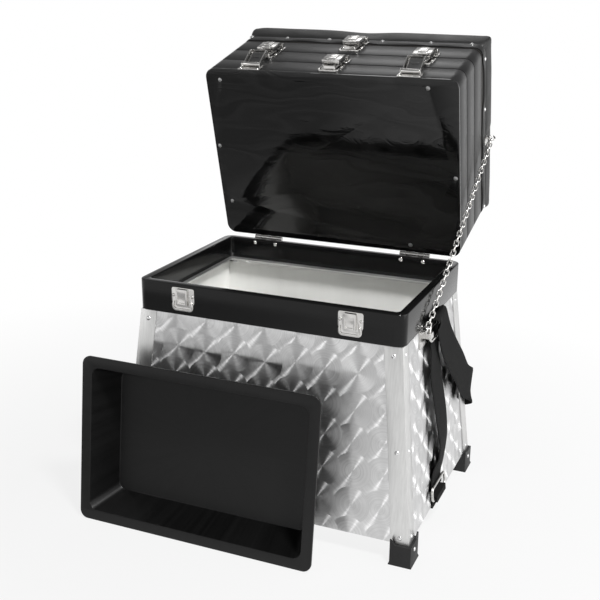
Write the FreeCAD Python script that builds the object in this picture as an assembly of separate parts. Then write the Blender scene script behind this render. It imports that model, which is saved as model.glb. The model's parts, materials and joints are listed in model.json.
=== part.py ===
import FreeCAD, Part
import math
import os

from FreeCAD import Vector

# Fishing seat box: a tapered sheet-metal body with a plastic collar, and a hinged stack of three
# bait levels with a padded seat on top, held open by a chain. Millimetres, Z up, front at -Y.
# The origin is on the ground, midway between the four feet. The stack is modelled shut and then
# turned open about the main hinge.

# Collar and the stack's common plan
collar_width = 382.0
collar_depth = 272.0
collar_height = 42.8
collar_top_z = 334.5
collar_corner = 14.0
collar_rim = 12.0
collar_wall = 2.2
collar_lip_wall = 3.0
collar_top_wall = 4.0
collar_lip_drop = 32.0
collar_opening_corner = 6.0

# Body
foot_height = 29.7
top_edge_inset = 2.4
body_bottom_half_width = 215.3
body_bottom_half_depth = 157.5
sheet = 1.2
sheet_insertion = 30.0
tongue_setback = 15.0
post_leg = 24.5
post_sheet = 1.5
floor_sheet = 1.5
ledge_side_width = 10.0
ledge_front_width = 13.0
ledge_sheet = 1.5
ledge_play = 0.9
ledge_leg = 8.0
rivet_radius = 3.0
rivet_head = 1.4
rivet_heights = (38.0, 153.0, 279.0)
rivet_edge = 12.5
collar_screw_xs = (-153.0, -9.0, 148.0)

# Feet
foot_width = 29.0
foot_depth = 34.0
foot_overhang = 4.0
foot_flare = 1.5
foot_flare_height = 4.0
foot_fin_height = 7.0
foot_fin_length = 7.0
foot_fin_thickness = 2.6
foot_fin_tip = 1.0
foot_screw_height = 20.0

# Stack of levels and seat
open_angle = 75.0
level_inset = 1.0
level_height = 42.3
level_wall = 3.0
level_floor = 2.5
board_thickness = 4.0
seam_gap = 0.3
seam_relief = 1.0
seam_relief_height = 1.0
riser_height = 6.0
riser_inset = 5.0
seat_board_thickness = 20.0
seat_cover_thickness = 1.5
cover_play = 0.05
seat_height = 63.7
seat_crown = 6.0
seat_shoulder = 11.0
seat_draw_in = 1.0
seat_crown_run = 95.0
seat_corner_growth = 0.25

# Hinges
hinge_x = 120.0
hinge_width = 46.0
hinge_axis_offset = 3.4
hinge_axis_rise = 1.45
hinge_sheet = 1.4
barrel_radius = 3.1
pin_radius = 1.5
hinge_play = 0.05
knuckles = 5
knuckle_gap = 0.4
leaf_height = 18.0
leaf_clearance = 2.7
web_depth = 1.8
web_rise = 0.8
web_setback = 0.2
hinge_rivet_spacing = 34.6
hinge_rivet_drop = 10.0
hinge_rivet_end_rise = 4.0

# Latches
latch_x = 120.0
latch_width = 34.0
latch_sheet = 1.2
pivot_rise = 14.0
pivot_offset = 4.5
hasp_width = 26.0
hasp_length = 34.0
hasp_depth = 8.0
hasp_wall = 1.2
hasp_barrel_radius = 3.0
hasp_back = 1.0
hasp_brow = 10.0
hasp_end_rise = 3.2
hasp_end_bevel = 5.0
hasp_roof = 0.6
hasp_open_angle = 157.0
hasp_pin_radius = 1.3
hasp_mount_low = 2.0
hasp_mount_high = 19.0
hasp_ear = 1.4
hasp_ear_edge = 0.4
hasp_side_play = 0.35
catch_corner = 6.0
catch_wing_corner = 3.0
catch_top = 4.0
catch_bottom = 36.0
catch_neck_width = 32.0
catch_wing_top = 4.0
catch_wing_bottom = 26.0
catch_box_width = 17.0
catch_box_top = 5.0
catch_box_bottom = 28.0
catch_box_depth = 6.2
catch_box_corner = 1.5
catch_well_side = 3.0
catch_well_low = 4.0
catch_well_high = 9.0
catch_well_floor = 4.7
catch_rim = 3.0
catch_rim_depth = 3.0
catch_rim_rise = 6.0
catch_screw_inset = 0.3
latch_screw_radius = 2.4
latch_screw_head = 1.2
latch_screw_inset = 1.0

# Fasteners. A place along a side is (edge, distance): in from the low (-1) or high (1) edge, or from the middle (0)
board_screw_places = (((-1, 22.0), (-1, 17.0)), ((1, 43.0), (-1, 14.0)), ((-1, 6.0), (0, -13.0)),
                      ((1, 6.0), (0, 9.0)), ((-1, 14.0), (1, 55.0)), ((1, 76.0), (1, 11.0)))
board_screw_radius = 3.4
board_screw_head = 1.0
board_screw_proud = 0.15
board_screw_play = 0.2
board_screw_shank = 1.6
nail_radius = 3.6
nail_head = 1.8
nail_shank_radius = 1.0
nail_length = 14.0
nail_play = 0.05
nail_rise = 20.0
nail_front_places = ((-1, 9.0), (0, -120.0), (0, -50.0), (0, 35.0), (0, 110.0), (1, 19.0))
nail_side_places = ((-1, 21.0), (0, -37.0), (0, 41.0), (1, 11.0))
nail_rear_places = ((-1, 19.0), (0, -60.0), (0, 60.0), (1, 19.0))

# Chain, from an eye on the right side bracket to an eye on the seat's right side
chain_low = (-58.0, 292.0)
chain_high_y = 15.0
chain_high_rise = 163.0
chain_pitch = 9.4
chain_wire = 0.95
chain_link_width = 8.0
chain_offset = 6.5
chain_turn = 45.0
chain_slack = 0.1
chain_end_flat = 0.05
eye_radius = 4.5
eye_wire = 1.2
eye_stem = 1.6
eye_plate_width = 12.0
eye_plate_low = 138.0
eye_plate_high = 168.0
eye_plate_sheet = 1.2
eye_screw_rise = 145.0
eye_root_sink = 0.3

# Straps and their rings: (y, z, clearance from the wall, twist in degrees) down each side
webbing_width = 50.0
webbing = 2.0
bracket_length = 36.0
bracket_low_z = 265.0
bracket_high_z = 288.0
bracket_front_y = -63.0
bracket_sheet = 1.5
ring_wire = 1.8
ring_corner = 6.0
ring_play = 0.15
upper_ring = (68.0, 24.0)
upper_ring_centre = (-6.0, 278.0)
upper_ring_offset = 8.4
upper_ring_tilt = 0.0
clip_front_y = -45.0
clip_rear_y = -33.0
clip_low_z = 274.4
clip_high_z = 282.0
lower_ring = (66.0, 22.0)
lower_ring_centre = (-26.0, 52.0)
lower_ring_offset = 5.5
side_strap_route = (
    (2, 292.2, 5.2, 0), (1, 278, 3.3, 0), (-2, 266, 3.5, 2), (-8, 245, 5, 5), (-12, 215, 6, 0), (-9, 175, 8, 0),
    (-2, 140, 8.5, 1), (2, 112, 8, 4), (-3, 86, 5, 5), (-15, 70, 2.6, 2), (-24, 58, 2.2, 0), (-25, 49, 2.2, 0),
)
tab_width = 44.0
tab_inner = 24.0
tab_loop_wall = 2.0
# The shoulder strap's half loop beside the body: (clearance from the wall, y, z), and the direction of its width
shoulder_beside = (
    ((5.3, 2, 293.4), (0, 1, 0)),
    ((12.4, 4, 292.6), (0, 1, 0)),
    ((13.2, 12, 274), (0, 0.95, 0.3)),
    ((13.2, 24, 252), (0, 0.88, 0.48)),
    ((13.0, 50, 223), (0, 0.78, 0.62)),
    ((12.6, 86, 189), (0, 0.68, 0.73)),
    ((11.4, 118, 157), (0, 0.55, 0.84)),
)
# Behind it: (share of the half width, clearance from the rear sheet, z), and the direction of its width
shoulder_behind = (
    ((1.05, 10, 135), (0.0, 0.25, 0.97)),
    ((0.98, 21, 121), (0.1, 0.1, 1)),
    ((0.78, 27, 110), (0.1, 0.0, 1)),
    ((0.513, 30, 101), (0.08, 0.0, 1)),
    ((0.243, 31, 96), (0.04, 0.0, 1)),
    ((0.0, 31, 95), (0.0, 0.0, 1)),
)

# Loose insert tray, leaning on the front panel
insert_width = 352.0
insert_depth = 236.0
insert_height = 56.0
insert_flange = 15.0
insert_wall = 2.5
insert_draft = 14.5
insert_tilt = 7.2
insert_x = -71.0
insert_corner = 12.0
insert_lip = 4.0
lean_gap = 0.3

half_width = collar_width / 2
half_depth = collar_depth / 2
collar_bottom_z = collar_top_z - collar_height
body_top_half_width = half_width - top_edge_inset
body_top_half_depth = half_depth - top_edge_inset
side_slope = (body_bottom_half_width - body_top_half_width) / (collar_bottom_z - foot_height)
front_slope = (body_bottom_half_depth - body_top_half_depth) / (collar_bottom_z - foot_height)
sheet_top_z = collar_bottom_z + sheet_insertion
opening_half_width = half_width - collar_rim
opening_half_depth = half_depth - collar_rim
lip_bottom_z = collar_top_z - collar_lip_drop
level_half_width = half_width - level_inset
level_half_depth = half_depth - level_inset
hinge_y = half_depth + hinge_axis_offset
level_hinge_y = level_half_depth + hinge_axis_offset
hinge_z = collar_top_z + hinge_axis_rise
seat_seam = 3 * level_height
seat_low = seat_seam + riser_height
nail_height = seat_seam + nail_rise

X = Vector(1, 0, 0)
Y = Vector(0, 1, 0)
Z = Vector(0, 0, 1)


def post_half(z):
    """Half width and half depth over the corner posts at height z."""
    below = collar_bottom_z - z
    return body_top_half_width + side_slope * below, body_top_half_depth + front_slope * below


def panel_half(z):
    """Half width and half depth over the sheet panels at height z: inside the collar they stand straight up."""
    a, b = post_half(min(z, collar_bottom_z))
    return a - post_sheet, b - post_sheet


def along(half, place):
    """A place along a side of that half length: see the fasteners."""
    edge, distance = place
    return edge * (half - distance) if edge else distance


def block(x0, x1, y0, y1, z0, z1):
    return Part.makeBox(x1 - x0, y1 - y0, z1 - z0, Vector(x0, y0, z0))


def faceted(points, faces):
    """A closed solid with flat faces from corner points."""
    made = [Part.Face(Part.makePolygon([points[i] for i in list(face) + [face[0]]])) for face in faces]
    solid = Part.Solid(Part.Shell(made))
    if solid.Volume < 0:
        solid.reverse()
    return solid


def slanted_block(low, high):
    """A block between two rectangles, each (x0, x1, y0, y1, z)."""
    points = []
    for x0, x1, y0, y1, z in (low, high):
        points += [Vector(x0, y0, z), Vector(x1, y0, z), Vector(x1, y1, z), Vector(x0, y1, z)]
    faces = [(0, 3, 2, 1), (4, 5, 6, 7), (0, 1, 5, 4), (1, 2, 6, 5), (2, 3, 7, 6), (3, 0, 4, 7)]
    return faceted(points, faces)


def rounded_wire(half_x, half_y, radius, z, centre=(0.0, 0.0)):
    """A rectangle with quarter-round corners at height z."""
    cx, cy = centre
    edges = []
    corners = ((1, -1, -90), (1, 1, 0), (-1, 1, 90), (-1, -1, 180))
    ends = []
    for sx, sy, start in corners:
        c = Vector(cx + sx * (half_x - radius), cy + sy * (half_y - radius), z)
        arc = Part.Arc(*[c + Vector(radius * math.cos(math.radians(start + t)),
                                    radius * math.sin(math.radians(start + t)), 0) for t in (0, 45, 90)])
        ends.append(arc.toShape())
    for i, arc in enumerate(ends):
        following = ends[(i + 1) % 4]
        edges.append(arc)
        edges.append(Part.makeLine(arc.Vertexes[-1].Point, following.Vertexes[0].Point))
    return Part.Wire(edges)


def rounded_block(half_x, half_y, radius, z0, z1, centre=(0.0, 0.0)):
    face = Part.Face(rounded_wire(half_x, half_y, radius, z0, centre))
    return face.extrude(Vector(0, 0, z1 - z0))


def profile_along_x(points, x0, x1):
    """A flat outline of (y, z) points, drawn out along X."""
    outline = [Vector(x0, y, z) for y, z in points]
    face = Part.Face(Part.makePolygon(outline + [outline[0]]))
    return face.extrude(Vector(x1 - x0, 0, 0))


def rod(radius, length, start, direction):
    return Part.makeCylinder(radius, length, start, direction)


def button(radius, height, base, direction):
    """A low domed fastener head."""
    bulge = (radius * radius + height * height) / (2 * height)
    ball = Part.makeSphere(bulge)
    keep = Part.makeCylinder(radius, height, Vector(0, 0, bulge - height), Z)
    head = ball.common(keep)
    head.translate(Vector(0, 0, height - bulge))
    turn = FreeCAD.Rotation(Z, Vector(direction))
    head.Placement = FreeCAD.Placement(base, turn).multiply(head.Placement)
    return head


def fused(shapes):
    first = shapes[0]
    if len(shapes) == 1:
        return first
    return first.multiFuse(shapes[1:]).removeSplitter()


def group(shapes):
    return Part.makeCompound(shapes)


def mirrored(shape):
    return shape.mirror(Vector(0, 0, 0), X)


def opened(shape):
    """Turns a piece of the shut stack to the open rest pose."""
    turned = shape.copy()
    turned.rotate(Vector(0, hinge_y, hinge_z), X, -open_angle)
    return turned


def raised(shape, height):
    """Puts a piece of the stack, modelled from its lower face, at its height above the collar."""
    moved = shape.copy()
    moved.translate(Vector(0, 0, collar_top_z + height))
    return moved


def export(name, shape):
    shape.exportStep("parts/" + name + ".step")


def front_or_rear_panel(side):
    """A tapered sheet, with a narrower tongue that stands up inside the collar."""
    sections = []
    for z, setback in ((foot_height, 0), (collar_bottom_z, 0), (collar_bottom_z, tongue_setback),
                       (sheet_top_z, tongue_setback)):
        a, b = panel_half(z)
        y0, y1 = sorted((side * b, side * (b - sheet)))
        sections.append((setback - a, a - setback, y0, y1, z))
    return fused([slanted_block(*sections[:2]), slanted_block(*sections[2:])])


def side_panel(side):
    """As the front panel, between the front and the rear one."""
    sections = []
    for z, setback in ((foot_height, sheet), (collar_bottom_z, sheet), (collar_bottom_z, tongue_setback),
                       (sheet_top_z, tongue_setback)):
        a, b = panel_half(z)
        x0, x1 = sorted((side * a, side * (a - sheet)))
        sections.append((x0, x1, setback - b, b - setback, z))
    return fused([slanted_block(*sections[:2]), slanted_block(*sections[2:])])


def corner_post(side_x, side_y):
    """An angle of two legs that wraps one corner from outside."""
    front, flank = [], []
    for z in (foot_height, collar_bottom_z):
        a, b = post_half(z)
        x0, x1 = sorted((side_x * a, side_x * (a - post_leg)))
        y0, y1 = sorted((side_y * b, side_y * (b - post_sheet)))
        front.append((x0, x1, y0, y1, z))
        x0, x1 = sorted((side_x * a, side_x * (a - post_sheet)))
        y0, y1 = sorted((side_y * b, side_y * (b - post_leg)))
        flank.append((x0, x1, y0, y1, z))
    return fused([slanted_block(*front), slanted_block(*flank)])


def post_rivets():
    """Pop rivets, three down each leg of each post."""
    lean_front = math.atan(front_slope)
    lean_side = math.atan(side_slope)
    heads = []
    for side_x in (-1, 1):
        for side_y in (-1, 1):
            for z in rivet_heights:
                a, b = post_half(z)
                out = Vector(0, side_y * math.cos(lean_front), math.sin(lean_front))
                place = Vector(side_x * (a - rivet_edge), side_y * b, z)
                heads.append(button(rivet_radius, rivet_head, place, out))
                out = Vector(side_x * math.cos(lean_side), 0, math.sin(lean_side))
                place = Vector(side_x * a, side_y * (b - rivet_edge), z)
                heads.append(button(rivet_radius, rivet_head, place, out))
    return group(heads)


def floor_pan():
    a, b = panel_half(foot_height + floor_sheet)
    inner_a, inner_b = a - sheet, b - sheet
    return block(-inner_a, inner_a, -inner_b, inner_b, foot_height, foot_height + floor_sheet)


def tray_ledge():
    """An angle frame inside the body's mouth: the insert tray's flange rests on it."""
    top = lip_bottom_z
    a, b = panel_half(top)
    outer_a, outer_b = a - sheet - ledge_play, b - sheet - ledge_play
    inner_a = opening_half_width + collar_lip_wall - ledge_side_width
    inner_b = opening_half_depth + collar_lip_wall - ledge_front_width
    plate = block(-outer_a, outer_a, -outer_b, outer_b, top - ledge_sheet, top)
    plate = plate.cut(block(-inner_a, inner_a, -inner_b, inner_b, top - ledge_sheet - 1, top + 1))
    leg = block(-outer_a, outer_a, -outer_b, outer_b, top - ledge_leg, top)
    leg = leg.cut(block(-outer_a + ledge_sheet, outer_a - ledge_sheet, -outer_b + ledge_sheet,
                        outer_b - ledge_sheet, top - ledge_leg - 1, top + 1))
    return fused([plate, leg])


def collar():
    """A moulded rim: outer skirt, flat top and inner lip, open underneath for the sheets."""
    outside = rounded_block(half_width, half_depth, collar_corner, collar_bottom_z, collar_top_z)
    mouth = rounded_block(opening_half_width, opening_half_depth, collar_opening_corner,
                          collar_bottom_z - 1, collar_top_z + 1)
    channel = rounded_block(half_width - collar_wall, half_depth - collar_wall, collar_corner - collar_wall,
                            collar_bottom_z - 1, collar_top_z - collar_top_wall)
    core = rounded_block(opening_half_width + collar_lip_wall, opening_half_depth + collar_lip_wall,
                         collar_opening_corner + collar_lip_wall, lip_bottom_z,
                         collar_top_z - collar_top_wall + 1)
    return outside.cut(channel.cut(core)).cut(mouth)


def collar_screws():
    heads = []
    height = lip_bottom_z - ledge_sheet - ledge_leg / 2
    face = panel_half(lip_bottom_z)[1] - sheet - ledge_play - ledge_sheet
    for x in collar_screw_xs:
        heads.append(button(rivet_radius, rivet_head, Vector(x, face, height), Vector(0, -1, 0)))
    return group(heads)


def foot(side_x, side_y):
    """A corner block under a post, flared at the ground, with two fins up the corner's sides."""
    a, b = post_half(foot_height)
    x_out, y_out = a + foot_overhang, b + foot_overhang
    x_in, y_in = x_out - foot_width, y_out - foot_depth

    def ring(grow, z):
        x0, x1 = sorted((side_x * (x_in - grow), side_x * (x_out + grow)))
        y0, y1 = sorted((side_y * (y_in - grow), side_y * (y_out + grow)))
        return (x0, x1, y0, y1, z)

    flare = slanted_block(ring(foot_flare, 0), ring(0, foot_flare_height))
    body = slanted_block(ring(0, foot_flare_height), ring(0, foot_height))
    top = foot_height + foot_fin_height
    fin_x = sorted((side_x * x_out, side_x * (x_out - foot_fin_thickness)))
    fin_y = sorted((side_y * y_in, side_y * (y_in + foot_fin_length)))
    tip_y = sorted((side_y * y_in, side_y * (y_in + foot_fin_tip)))
    side_fin = slanted_block((*fin_x, *fin_y, foot_height), (*fin_x, *tip_y, top))
    fin_x = sorted((side_x * x_in, side_x * (x_in + foot_fin_length)))
    tip_x = sorted((side_x * x_in, side_x * (x_in + foot_fin_tip)))
    fin_y = sorted((side_y * y_out, side_y * (y_out - foot_fin_thickness)))
    front_fin = slanted_block((*fin_x, *fin_y, foot_height), (*tip_x, *fin_y, top))
    return fused([flare, body, side_fin, front_fin])


def foot_screws():
    heads = []
    a, b = post_half(foot_height)
    for side_x in (-1, 1):
        for side_y in (-1, 1):
            x = side_x * (a + foot_overhang)
            y = side_y * (b + foot_overhang - foot_depth / 2)
            place = Vector(x, y, foot_screw_height)
            heads.append(button(rivet_radius, rivet_head, place, Vector(side_x, 0, 0)))
    return group(heads)


def level(floor_from, height):
    """An open-topped bait level with a shallow groove along both edges of its outside."""
    core = rounded_block(level_half_width, level_half_depth, collar_corner, floor_from + seam_relief_height,
                         height - seam_relief_height)
    edges = rounded_block(level_half_width - seam_relief, level_half_depth - seam_relief,
                          collar_corner - seam_relief, floor_from, height)
    inside = rounded_block(level_half_width - level_wall, level_half_depth - level_wall,
                           collar_corner - level_wall, floor_from + level_floor, height + 1)
    return core.fuse(edges).cut(inside)


def board_screw_points(z):
    return [Vector(along(level_half_width, x), along(level_half_depth, y), z) for x, y in board_screw_places]


def base_board():
    """The glossy board under the lowest level, pierced for its screws."""
    board = rounded_block(level_half_width, level_half_depth, collar_corner, seam_gap,
                          seam_gap + board_thickness)
    holes = []
    sink = board_screw_head - board_screw_proud
    for place in board_screw_points(seam_gap - 1):
        holes.append(rod(board_screw_shank, board_thickness + 2, place, Z))
        holes.append(rod(board_screw_radius + board_screw_play, sink + 1, place, Z))
    return board.cut(group(holes))


def base_board_screws():
    screws = []
    sink = board_screw_head - board_screw_proud
    for place in board_screw_points(seam_gap + sink):
        shank = rod(board_screw_shank, board_thickness - sink, place, Z)
        head = button(board_screw_radius, board_screw_head, place, Vector(0, 0, -1))
        screws.append(fused([shank, head]))
    return group(screws)


def seat_riser():
    """The inset strip that leaves a dark recess under the seat."""
    return rounded_block(level_half_width - riser_inset, level_half_depth - riser_inset,
                         collar_corner - riser_inset, seat_seam + seam_gap, seat_low)


def seat_board():
    """The plywood board under the foam, with holes for the nails."""
    inset = seat_cover_thickness + cover_play
    board = rounded_block(level_half_width - inset, level_half_depth - inset, collar_corner - inset, seat_low,
                          seat_low + seat_board_thickness)
    return board.cut(group(nail_shanks(nail_play, 1.0)))


def seat_cover():
    """The vinyl's edge, drawn down over the board's sides."""
    outside = rounded_block(level_half_width, level_half_depth, collar_corner, seat_low,
                            seat_low + seat_board_thickness)
    inset = seat_cover_thickness
    inside = rounded_block(level_half_width - inset, level_half_depth - inset, collar_corner - inset,
                           seat_low - 1, seat_low + seat_board_thickness + 1)
    return outside.cut(inside).cut(group(nail_shanks(nail_play, 1.0)))


def seat_cushion():
    """The foam pad: sides drawn in a little, a rounded shoulder and a low crown."""
    low = seat_low + seat_board_thickness
    edge = seat_seam + seat_height - seat_crown
    centre_z = edge - seat_shoulder
    rings = [(0.0, low), (seat_draw_in, (low + centre_z) / 2), (0.0, centre_z)]
    for angle in (25, 50, 75):
        turn = math.radians(angle)
        rings.append((seat_shoulder * (1 - math.cos(turn)), centre_z + seat_shoulder * math.sin(turn)))
    crown_start = rings[-1]
    for step in (1, 2, 3, 4):
        share = step / 4
        rise = (edge + seat_crown - crown_start[1]) * (1 - (1 - share) ** 2)
        rings.append((crown_start[0] + share * seat_crown_run, crown_start[1] + rise))
    wires = []
    for inset, z in rings:
        radius = collar_corner + inset * seat_corner_growth
        wires.append(rounded_wire(level_half_width - inset, level_half_depth - inset, radius, z))
    return Part.makeLoft(wires, True, True)


def nail_places():
    """Each nail's point on the cover and its outward direction."""
    places = []
    for side, along_side in ((-1, nail_front_places), (1, nail_rear_places)):
        for place in along_side:
            x = along(level_half_width, place)
            places.append((Vector(x, side * level_half_depth, nail_height), Vector(0, side, 0)))
    for place in nail_side_places:
        y = along(level_half_depth, place)
        places.append((Vector(level_half_width, y, nail_height), Vector(1, 0, 0)))
        places.append((Vector(-level_half_width, y, nail_height), Vector(-1, 0, 0)))
    return places


def nail_shanks(play, extra):
    return [rod(nail_shank_radius + play, nail_length + extra, place + out * (extra / 2), out * -1)
            for place, out in nail_places()]


def seat_nails():
    nails = []
    for (place, out), shank in zip(nail_places(), nail_shanks(0, 0)):
        nails.append(fused([shank, button(nail_radius, nail_head, place, out)]))
    return group(nails)


def knuckle_span(index):
    length = (hinge_width - (knuckles - 1) * knuckle_gap) / knuckles
    start = -hinge_width / 2 + index * (length + knuckle_gap)
    return start, start + length


def hinge_leaf(x, face, axis_y, axis_z, upward):
    """A leaf on a rear wall, with its share of the knuckles; the upward leaf has the inner two."""
    side = 1 if upward else -1
    near = axis_z + side * leaf_clearance
    far = axis_z + side * (leaf_height - hinge_axis_rise)
    plate = block(x - hinge_width / 2, x + hinge_width / 2, face, face + hinge_sheet, *sorted((near, far)))
    pieces = [plate]
    for index in range(1 if upward else 0, knuckles, 2):
        start, end = knuckle_span(index)
        web_face = face if upward else face + web_setback
        rise = sorted((axis_z, near + side * web_rise))
        pieces.append(block(x + start, x + end, web_face, axis_y - web_depth, *rise))
        pieces.append(rod(barrel_radius, end - start, Vector(x + start, axis_y, axis_z), X))
    leaf = fused(pieces)
    bore_start = Vector(x - hinge_width / 2 - 1, axis_y, axis_z)
    return leaf.cut(rod(pin_radius + hinge_play, hinge_width + 2, bore_start, X))


def hinge_leaves(face, axis_y, axis_z, upward):
    """Both leaves of a pair of hinges, with their rivet heads."""
    shapes = []
    side = 1 if upward else -1
    for x in (-hinge_x, hinge_x):
        shapes.append(hinge_leaf(x, face, axis_y, axis_z, upward))
        for shift in (-hinge_rivet_spacing / 2, hinge_rivet_spacing / 2):
            place = Vector(x + shift, face + hinge_sheet, axis_z + side * hinge_rivet_drop)
            shapes.append(button(rivet_radius, rivet_head, place, Y))
    return shapes


def hinge_pins(axis_y, axis_z):
    return [rod(pin_radius, hinge_width, Vector(x - hinge_width / 2, axis_y, axis_z), X)
            for x in (-hinge_x, hinge_x)]


def collar_rivet_ends():
    """The hinge rivets' ends on the collar's inner wall."""
    ends = []
    for x in (-hinge_x, hinge_x):
        for shift in (-hinge_rivet_spacing / 2, hinge_rivet_spacing / 2):
            place = Vector(x + shift, opening_half_depth, hinge_z - hinge_rivet_drop + hinge_rivet_end_rise)
            ends.append(button(rivet_radius, rivet_head, place, Vector(0, -1, 0)))
    return ends


def latch_outline(points):
    """Latch side views are given as (out from the pivot, down from the pivot)."""
    return [(-out, -down) for out, down in points]


def hasp():
    """A hollow clamp cap that hangs from its pin, at the origin."""
    half = hasp_width / 2
    wall, end = hasp_wall, hasp_length
    back, brow, barrel = -hasp_back, hasp_brow, hasp_barrel_radius
    outer = latch_outline(((back, 0), (back, end - hasp_end_bevel), (hasp_end_rise, end), (hasp_depth, end),
                           (hasp_depth, brow), (barrel, 0)))
    deep, roof = hasp_depth - wall, barrel + hasp_roof
    inner = latch_outline(((back - 1, roof), (back - 1, end - wall), (deep, end - wall), (deep, brow),
                           (barrel, roof)))
    cap = profile_along_x(outer, -half, half)
    cap = cap.fuse(rod(barrel, hasp_width, Vector(-half, 0, 0), X)).removeSplitter()
    cap = cap.cut(profile_along_x(inner, -half + wall, half - wall))
    return cap.cut(rod(hasp_pin_radius + hinge_play, hasp_width + 2, Vector(-half - 1, 0, 0), X))


def hasp_mount():
    """The eared base plate, its pin and its two screws, about the pivot."""
    half = latch_width / 2
    wall = pivot_offset
    low, high = hasp_mount_low - pivot_rise, hasp_mount_high - pivot_rise
    pieces = [block(-half, half, wall - latch_sheet, wall, low, high)]
    ear_radius = hasp_barrel_radius + hasp_ear_edge
    for side in (-1, 1):
        near = hasp_width / 2 + hasp_side_play
        x0, x1 = sorted((side * near, side * (near + hasp_ear)))
        pieces.append(block(x0, x1, 0, wall, -ear_radius, ear_radius))
        pieces.append(rod(ear_radius, hasp_ear, Vector(x0, 0, 0), X))
    base = fused(pieces)
    reach = hasp_width / 2 + hasp_side_play + hasp_ear
    base = base.cut(rod(hasp_pin_radius, 2 * reach, Vector(-reach, 0, 0), X))
    pin = rod(hasp_pin_radius, 2 * reach, Vector(-reach, 0, 0), X)
    screws = []
    for side in (-1, 1):
        inset = latch_screw_radius + latch_screw_inset
        place = Vector(side * (half - inset), wall - latch_sheet, low + inset)
        screws.append(button(latch_screw_radius, latch_screw_head, place, Vector(0, -1, 0)))
    return [base, pin] + screws


def catch():
    """The lower half of a latch: winged plate, raised box, rounded rim and two screws, about the seam."""
    half, neck = latch_width / 2, catch_neck_width / 2

    def slab(half_x, low, high, radius, depth):
        wire = rounded_wire(half_x, (high - low) / 2, radius, 0.0)
        plate = Part.Face(wire).extrude(Vector(0, 0, depth))
        plate.rotate(Vector(0, 0, 0), X, 90)
        plate.translate(Vector(0, 0, (low + high) / 2))
        return plate

    plate = slab(neck, -catch_bottom, -catch_top, catch_corner, latch_sheet)
    wings = slab(half, -catch_wing_bottom, -catch_wing_top, catch_wing_corner, latch_sheet)
    box = slab(catch_box_width / 2, -catch_box_bottom, -catch_box_top, catch_box_corner, catch_box_depth)
    well = slab(catch_box_width / 2 - catch_well_side, -catch_box_bottom + catch_well_low,
                -catch_box_top - catch_well_high, catch_box_corner, catch_box_depth + 1)
    well.translate(Vector(0, -catch_well_floor, 0))
    rim_top = -catch_box_bottom + catch_rim_rise
    rim = slab(neck, -catch_bottom, rim_top, catch_corner, catch_rim_depth)
    hollow = slab(neck - catch_rim, -catch_bottom + catch_rim, rim_top + catch_rim, catch_corner - catch_rim,
                  catch_rim_depth + 1)
    rim = rim.cut(hollow)
    body = fused([plate, wings, box.cut(well), rim])
    screws = []
    middle = -(catch_wing_top + catch_wing_bottom) / 2
    for side in (-1, 1):
        place = Vector(side * (half - latch_screw_radius - catch_screw_inset), -latch_sheet, middle)
        screws.append(button(latch_screw_radius, latch_screw_head, place, Vector(0, -1, 0)))
    return [body] + screws


def placed(shapes, x, y, z):
    moved = []
    for shape in shapes:
        copy = shape.copy()
        copy.translate(Vector(x, y, z))
        moved.append(copy)
    return moved


def ring_wire_path(length, width, corner):
    return rounded_wire(length / 2, width / 2, corner, 0.0)


def bent_ring(length, width, corner, wire):
    """A closed loop of round wire in the XY plane, given by its outer size."""
    path = ring_wire_path(length - 2 * wire, width - 2 * wire, corner)
    start = path.Edges[1]
    middle = start.valueAt((start.FirstParameter + start.LastParameter) / 2)
    tangent = start.tangentAt((start.FirstParameter + start.LastParameter) / 2)
    ordered = Part.Wire(Part.__sortEdges__(path.Edges[1:] + path.Edges[:1]))
    origin = ordered.Edges[0].valueAt(ordered.Edges[0].FirstParameter)
    section = Part.Wire(Part.makeCircle(wire, origin, tangent))
    return ordered.makePipeShell([section], True, True)


def chain_ends():
    x = half_width + chain_offset
    low = Vector(x, chain_low[0], chain_low[1])
    high = raised(Part.Vertex(x, chain_high_y, 0), chain_high_rise)
    return low, opened(high).Vertexes[0].Point


def aligned(shape, centre, along, turn):
    """Puts a shape's X axis along a direction, turned about it, at a centre."""
    twist = FreeCAD.Rotation(X, turn)
    face = FreeCAD.Rotation(X, Vector(along))
    moved = shape.copy()
    moved.Placement = FreeCAD.Placement(centre, face.multiply(twist))
    return moved


def chain_plan():
    """The chain's start, direction, number of links, pitch and link length."""
    low, high = chain_ends()
    along = (high - low).normalize()
    inset = eye_radius - eye_wire - chain_wire - chain_slack
    stretch = (high - low).Length - 2 * inset
    overlap = 2 * chain_wire + chain_slack
    count = round((stretch - overlap) / chain_pitch)
    pitch = (stretch - overlap) / count
    return low + along * inset, along, count, pitch, pitch + overlap


def safety_chain():
    """Oval links, each turned a quarter from the next, hooked through one another."""
    start, along, count, pitch, centreline = chain_plan()
    width = chain_link_width
    link = bent_ring(centreline + 2 * chain_wire, width, width / 2 - chain_wire - chain_end_flat, chain_wire)
    links = []
    for index in range(count):
        centre = start + along * (centreline / 2 + index * pitch)
        links.append(aligned(link, centre, along, chain_turn if index % 2 == 0 else -chain_turn))
    return group(links)


def eye(centre, along, turn, root):
    """A ring that holds the chain's end, on a stem from its plate."""
    ring = aligned(Part.makeTorus(eye_radius, eye_wire), centre, along, turn)
    reach = centre - root
    stem = rod(eye_stem, reach.Length - eye_radius + eye_wire / 2, root, reach)
    return fused([ring, stem])


def wall_x(z, clearance):
    """X of a point off the right panel by the clearance, at height z."""
    return panel_half(z)[0] + clearance


def wall_block(z0, z1, near, far, y0, y1):
    """A block that follows the right panel's slope, between two clearances from it."""
    low = (wall_x(z0, near), wall_x(z0, far), y0, y1, z0)
    high = (wall_x(z1, near), wall_x(z1, far), y0, y1, z1)
    return slanted_block(low, high)


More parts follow.
